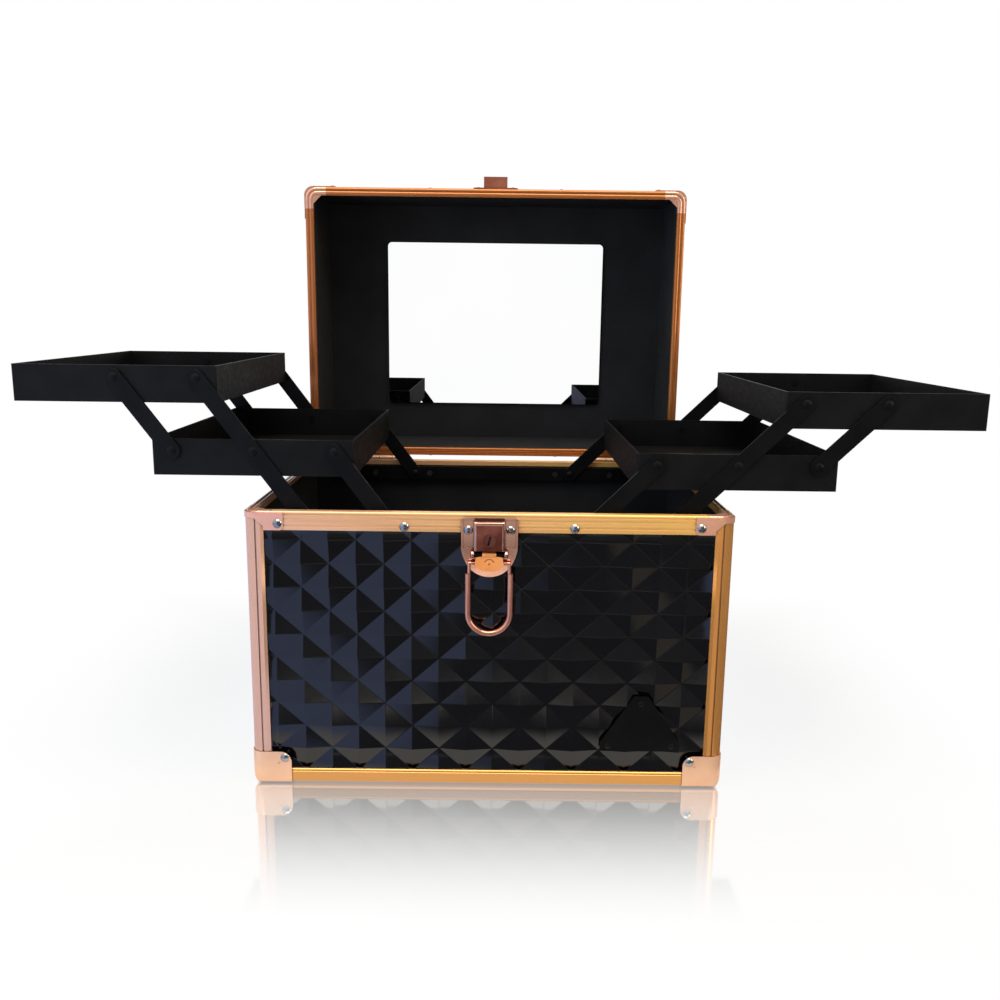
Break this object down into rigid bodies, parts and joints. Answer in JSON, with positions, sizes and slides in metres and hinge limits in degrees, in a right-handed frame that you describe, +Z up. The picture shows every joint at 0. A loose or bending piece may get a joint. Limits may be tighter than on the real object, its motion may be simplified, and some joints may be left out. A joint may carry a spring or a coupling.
{
  "type": "makeup train case",
  "caption": "Hard makeup case with a diamond-embossed black body, rose gold frame, mirrored hinged lid, front latch and folding cantilever trays.",
  "frame": {"origin": "centre of the base's footprint, on the surface that the bottom corner caps stand on", "axes": "+X to the right as seen from the latch side, +Y to the hinges at the rear, +Z up"},
  "size_m": [0.6706, 0.3699, 0.4568],
  "materials": {
    "faceted_panel": "glossy black diamond-embossed sheet on a board",
    "floor_board": "black-faced board",
    "rose_gold_rail": "satin rose gold anodised",
    "rose_gold_plate": "polished rose gold plate",
    "steel": "bright",
    "lining_cloth": "black lining",
    "black_steel": "satin black",
    "tray_plastic": "matt black",
    "badge_black": "satin black, bare",
    "mirror_glass": "silvered",
    "grip_rubber": "matt black"
  },
  "bodies": {
    "base": {"base_front_panel": "faceted_panel", "base_rear_panel": "faceted_panel", "base_left_panel": "faceted_panel", "base_right_panel": "faceted_panel", "base_floor_panel": "floor_board", "base_corner_posts": "rose_gold_rail", "base_rim_rails": "rose_gold_rail", "base_bottom_rails": "rose_gold_rail", "base_rim_corners": "rose_gold_plate", "base_foot_caps": "rose_gold_plate", "base_frame_rivets": "steel", "base_lining": "lining_cloth", "tray_strips": "black_steel", "tray_strip_screws": "black_steel", "base_pivot_rivets": "black_steel", "latch_plate": "rose_gold_plate", "lock_body": "rose_gold_plate", "latch_pin": "black_steel", "badge_plate": "badge_black", "badge_screws": "black_steel", "hinge_base_leaves": "rose_gold_plate", "hinge_pins": "steel"},
    "lid": {"lid_front_panel": "faceted_panel", "lid_rear_panel": "faceted_panel", "lid_left_panel": "faceted_panel", "lid_right_panel": "faceted_panel", "lid_top_panel": "faceted_panel", "lid_corner_posts": "rose_gold_rail", "lid_rim_rails": "rose_gold_rail", "lid_top_rails": "rose_gold_rail", "lid_rim_corners": "rose_gold_plate", "lid_top_caps": "rose_gold_plate", "lid_frame_rivets": "steel", "lid_lining": "lining_cloth", "lid_mirror": "mirror_glass", "lid_catch": "rose_gold_plate", "hinge_lid_leaves": "rose_gold_plate", "handle_brackets": "rose_gold_plate", "handle_pins": "steel"},
    "handle": {"handle_loop": "rose_gold_plate", "handle_sleeve": "grip_rubber"},
    "lock_plug": {"lock_plug": "rose_gold_plate"},
    "latch_lever": {"latch_lever": "rose_gold_plate"},
    "latch_bail": {"latch_bail": "rose_gold_plate"},
    "left_main_arms": {"left_main_arms": "black_steel"},
    "left_inner_arms": {"left_inner_arms": "black_steel"},
    "left_outer_arms": {"left_outer_arms": "black_steel"},
    "left_lower_tray": {"left_lower_tray": "tray_plastic", "left_lower_rivets": "black_steel"},
    "left_upper_tray": {"left_upper_tray": "tray_plastic", "left_upper_rivets": "black_steel"},
    "right_main_arms": {"right_main_arms": "black_steel"},
    "right_inner_arms": {"right_inner_arms": "black_steel"},
    "right_outer_arms": {"right_outer_arms": "black_steel"},
    "right_lower_tray": {"right_lower_tray": "tray_plastic", "right_lower_rivets": "black_steel"},
    "right_upper_tray": {"right_upper_tray": "tray_plastic", "right_upper_rivets": "black_steel"}
  },
  "joints": [
    {"name": "lid_hinge", "type": "hinge", "parent": "base", "child": "lid", "pos_m": [0, 0.123, 0.20315], "axis": [1, 0, 0], "range_deg": [0, 14]},
    {"name": "handle_swing", "type": "hinge", "parent": "lid", "child": "handle", "pos_m": [0, 0.23275, 0.32615], "axis": [1, 0, 0], "range_deg": [0, 180]},
    {"name": "lock_turn", "type": "hinge", "parent": "base", "child": "lock_plug", "pos_m": [0, -0.1264, 0.1856], "axis": [0, 1, 0], "range_deg": [0, 90]},
    {"name": "lever_lift", "type": "hinge", "parent": "base", "child": "latch_lever", "pos_m": [0, -0.12482, 0.1746], "axis": [-1, 0, 0], "range_deg": [0, 100]},
    {"name": "bail_swing", "type": "hinge", "parent": "latch_lever", "child": "latch_bail", "pos_m": [0, -0.12482, 0.1688], "axis": [1, 0, 0], "range_deg": [-178, 0]},
    {"name": "left_fold", "type": "hinge", "parent": "base", "child": "left_main_arms", "pos_m": [-0.1276, 0, 0.1918], "axis": [0, 1, 0], "range_deg": [-13.5, 97.5]},
    {"name": "left_inner_pivot", "type": "hinge", "parent": "base", "child": "left_inner_arms", "pos_m": [-0.0714, 0, 0.1918], "axis": [0, 1, 0], "range_deg": [-13.5, 97.5]},
    {"name": "left_lower_level", "type": "hinge", "parent": "left_main_arms", "child": "left_lower_tray", "pos_m": [-0.16478, 0, 0.24204], "axis": [0, 1, 0], "range_deg": [-97.5, 13.5]},
    {"name": "left_upper_level", "type": "hinge", "parent": "left_main_arms", "child": "left_upper_tray", "pos_m": [-0.20195, 0, 0.29228], "axis": [0, 1, 0], "range_deg": [-97.5, 13.5]},
    {"name": "left_outer_pivot", "type": "hinge", "parent": "left_lower_tray", "child": "left_outer_arms", "pos_m": [-0.22098, 0, 0.24204], "axis": [0, 1, 0], "range_deg": [-13.5, 97.5]},
    {"name": "right_fold", "type": "hinge", "parent": "base", "child": "right_main_arms", "pos_m": [0.1276, 0, 0.1918], "axis": [0, -1, 0], "range_deg": [-4.6, 106.4]},
    {"name": "right_inner_pivot", "type": "hinge", "parent": "base", "child": "right_inner_arms", "pos_m": [0.0714, 0, 0.1918], "axis": [0, -1, 0], "range_deg": [-4.6, 106.4]},
    {"name": "right_lower_level", "type": "hinge", "parent": "right_main_arms", "child": "right_lower_tray", "pos_m": [0.1721, 0, 0.23569], "axis": [0, -1, 0], "range_deg": [-106.4, 4.6]},
    {"name": "right_upper_level", "type": "hinge", "parent": "right_main_arms", "child": "right_upper_tray", "pos_m": [0.2166, 0, 0.27957], "axis": [0, -1, 0], "range_deg": [-106.4, 4.6]},
    {"name": "right_outer_pivot", "type": "hinge", "parent": "right_lower_tray", "child": "right_outer_arms", "pos_m": [0.2283, 0, 0.23569], "axis": [0, -1, 0], "range_deg": [-4.6, 106.4]}
  ],
  "couplings": [
    {"joint": "left_inner_pivot", "follows": "left_fold", "ratio": 1},
    {"joint": "left_lower_level", "follows": "left_fold", "ratio": -1},
    {"joint": "left_upper_level", "follows": "left_fold", "ratio": -1},
    {"joint": "left_outer_pivot", "follows": "left_fold", "ratio": 1},
    {"joint": "right_inner_pivot", "follows": "right_fold", "ratio": 1},
    {"joint": "right_lower_level", "follows": "right_fold", "ratio": -1},
    {"joint": "right_upper_level", "follows": "right_fold", "ratio": -1},
    {"joint": "right_outer_pivot", "follows": "right_fold", "ratio": 1}
  ]
}
